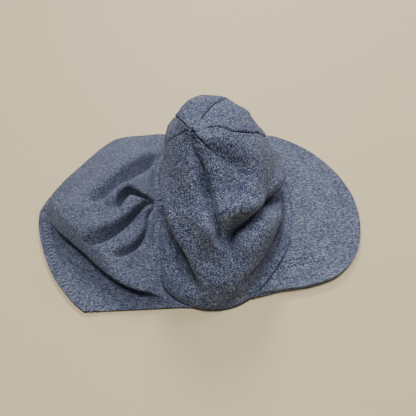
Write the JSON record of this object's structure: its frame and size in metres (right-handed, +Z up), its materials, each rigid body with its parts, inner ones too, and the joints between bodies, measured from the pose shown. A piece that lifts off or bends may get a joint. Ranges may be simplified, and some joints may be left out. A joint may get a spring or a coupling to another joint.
{
  "type": "legionnaire cap",
  "caption": "Toddler's soft legionnaire cap with a gored crown, padded peak and gathered neck flap, lying slumped on the floor.",
  "frame": {"origin": "centre of the bottom of the cap's box, on the floor it lies on", "axes": "+X from the neck flap toward the peak, +Y toward the side that lies away from the gathers' lapped side, +Z up"},
  "size_m": [0.2488, 0.1872, 0.0873],
  "materials": {
    "marl_jersey": "mottled blue marl cotton jersey, matt",
    "marl_jersey_trim": "the same jersey, doubled and topstitched, matt"
  },
  "bodies": {
    "root": {"crown_front_near": "marl_jersey", "crown_side_near": "marl_jersey", "crown_back_near": "marl_jersey", "crown_back_far": "marl_jersey", "crown_side_far": "marl_jersey", "crown_front_far": "marl_jersey", "rim_band": "marl_jersey_trim", "peak": "marl_jersey_trim", "neck_flap": "marl_jersey"}
  },
  "joints": []
}
